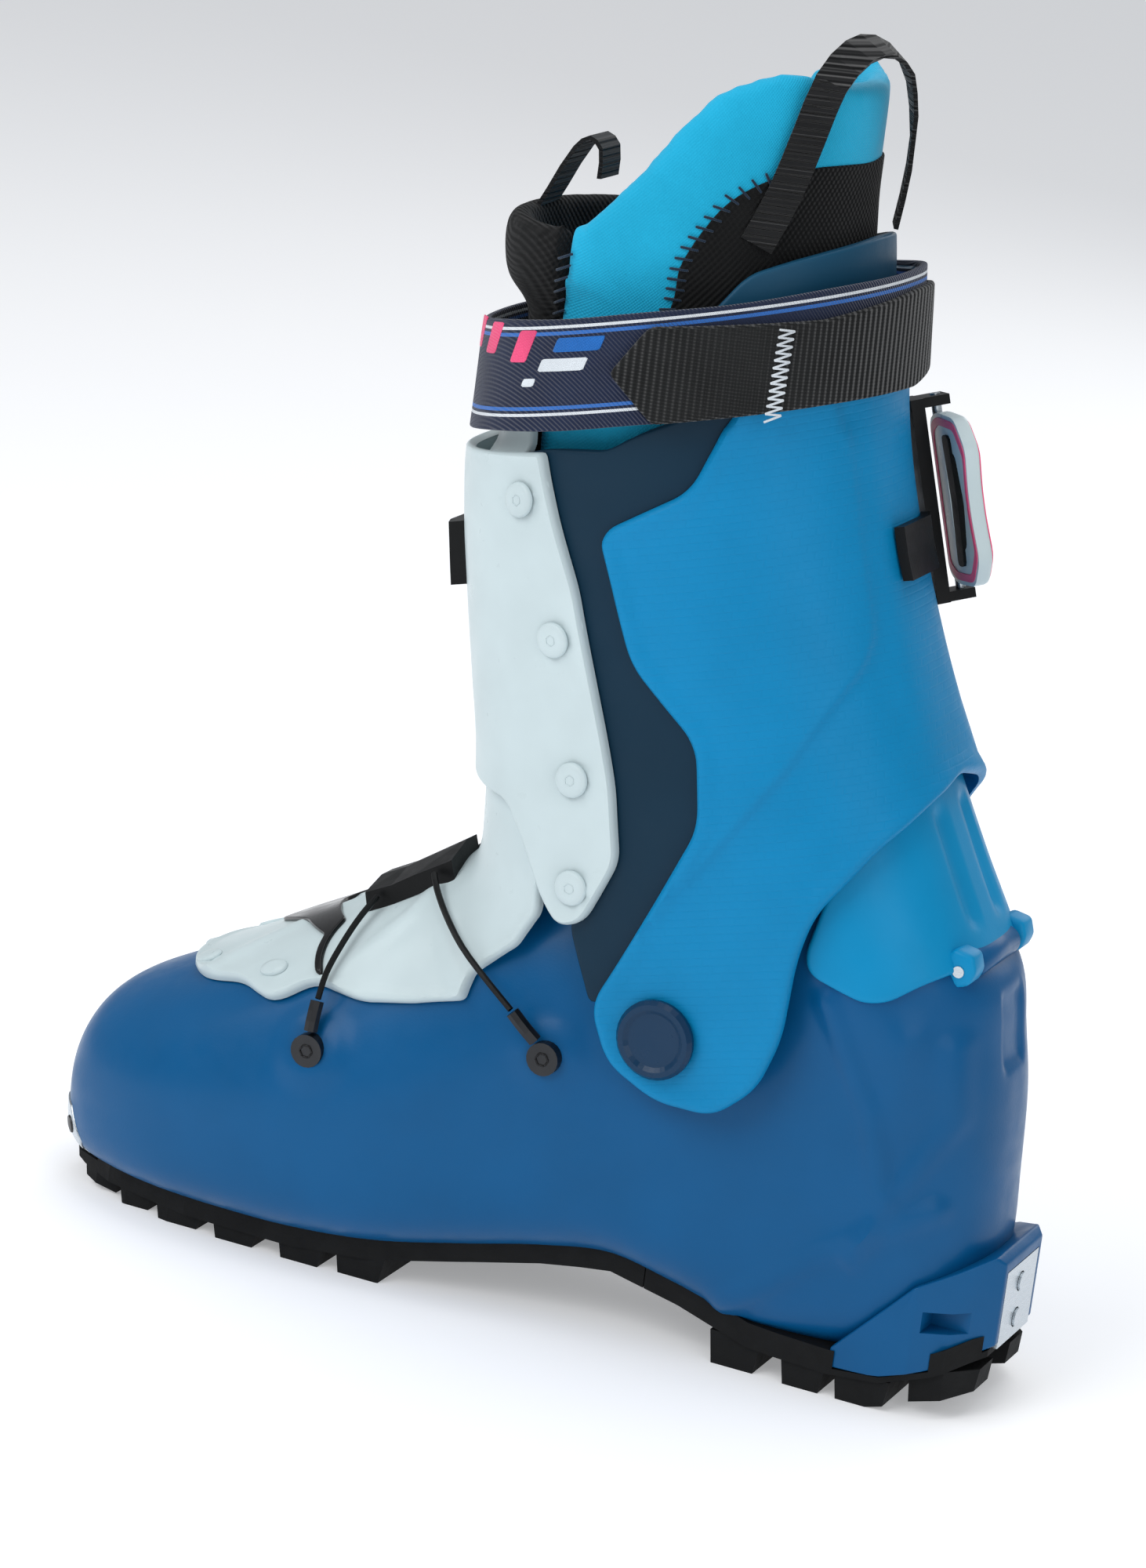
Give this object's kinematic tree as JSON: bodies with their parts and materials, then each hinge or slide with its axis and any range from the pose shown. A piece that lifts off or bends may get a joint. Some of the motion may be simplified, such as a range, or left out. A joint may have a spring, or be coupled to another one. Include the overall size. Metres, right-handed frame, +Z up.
{
  "type": "ski touring boot",
  "caption": "Ski touring boot: rigid shell with hinged cuff, locking tail, buckles, strap, lugged sole and soft liner.",
  "frame": {"origin": "on the floor, under the middle of the sole's length and on the boot's middle plane", "axes": "-X towards the toe, -Y towards the inner side of the foot, +Z up"},
  "size_m": [0.283, 0.1127, 0.3607],
  "materials": {
    "shell_blue": "satin deep blue polyurethane",
    "cuff_blue": "satin blue with a woven carbon-like texture",
    "tail_blue": "satin mid blue nylon",
    "navy": "satin navy nylon",
    "white": "satin cool white plastic",
    "black_plastic": "satin black nylon",
    "dark_steel": "blackened steel screws, ferrules and coated cable",
    "rubber": "matt black rubber",
    "steel": "brushed stainless steel",
    "liner_foam": "black foam liner under a mesh fabric",
    "liner_cyan": "cyan neoprene liner",
    "webbing": "woven navy and black webbing"
  },
  "bodies": {
    "shell": {"lower_shell": "shell_blue", "boot_board": "black_plastic", "insole": "black_plastic", "liner_foot": "liner_foam", "toe_fitting": "steel", "heel_fitting": "steel", "heel_fitting_screw_1": "steel", "heel_fitting_screw_2": "steel", "outsole_front": "rubber", "outsole_heel": "rubber", "lower_tongue": "white", "tongue_insert": "black_plastic", "tongue_rivet_inner_1": "white", "tongue_rivet_inner_2": "white", "tongue_rivet_outer_1": "white", "tongue_rivet_outer_2": "white", "anchor_screw_front": "dark_steel", "anchor_screw_rear": "dark_steel", "ferrule_front": "dark_steel", "ferrule_rear": "dark_steel", "instep_cable_front": "dark_steel", "instep_cable_rear": "dark_steel", "cable_guide": "black_plastic", "instep_strap": "webbing", "instep_buckle_base": "black_plastic", "instep_buckle_pin": "steel", "pivot_bush_inner": "steel", "pivot_bush_outer": "steel", "pivot_cap_inner": "navy", "pivot_cap_outer": "navy", "tail_pin": "steel"},
    "cuff": {"cuff_shell": "cuff_blue", "cuff_wrap_inner": "navy", "cuff_wrap_outer": "navy", "shin_plate": "white", "plate_rivet_inner_1": "white", "plate_rivet_inner_2": "white", "plate_rivet_inner_3": "white", "plate_rivet_inner_4": "white", "plate_rivet_outer_1": "white", "plate_rivet_outer_2": "white", "plate_rivet_outer_3": "white", "plate_rivet_outer_4": "white", "shin_tongue": "white", "rear_spoiler": "navy", "power_strap": "webbing", "strap_tab": "webbing", "liner_shaft": "liner_cyan", "liner_tongue": "liner_foam", "buckle_frame": "black_plastic", "buckle_pin": "steel", "buckle_clip": "black_plastic", "cable_hook": "black_plastic", "cuff_cable_low": "dark_steel", "cuff_cable_high": "dark_steel", "pull_loop": "webbing", "pull_tab": "webbing"},
    "tail": {"tail": "tail_blue"},
    "instep_lever": {"instep_buckle_lever": "white"},
    "cuff_lever": {"buckle_lever": "white"}
  },
  "joints": [
    {"name": "cuff_pivot", "type": "hinge", "parent": "shell", "child": "cuff", "pos_m": [0.046, 0, 0.094], "axis": [0, -1, 0], "range_deg": [-25, 10]},
    {"name": "tail_pivot", "type": "hinge", "parent": "shell", "child": "tail", "pos_m": [0.118, 0, 0.124], "axis": [0, -1, 0], "range_deg": [-30, 12]},
    {"name": "instep_lever_pivot", "type": "hinge", "parent": "shell", "child": "instep_lever", "pos_m": [0.03, 0.0505, 0.07], "axis": [0, 0, -1], "range_deg": [0, 110]},
    {"name": "cuff_lever_pivot", "type": "hinge", "parent": "cuff", "child": "cuff_lever", "pos_m": [0.07636, 0.03557, 0.23543], "axis": [-0.2767, -0.0269, 0.9606], "range_deg": [0, 110]}
  ],
  "couplings": [
    {"joint": "tail_pivot", "follows": "cuff_pivot", "ratio": 1.2}
  ]
}
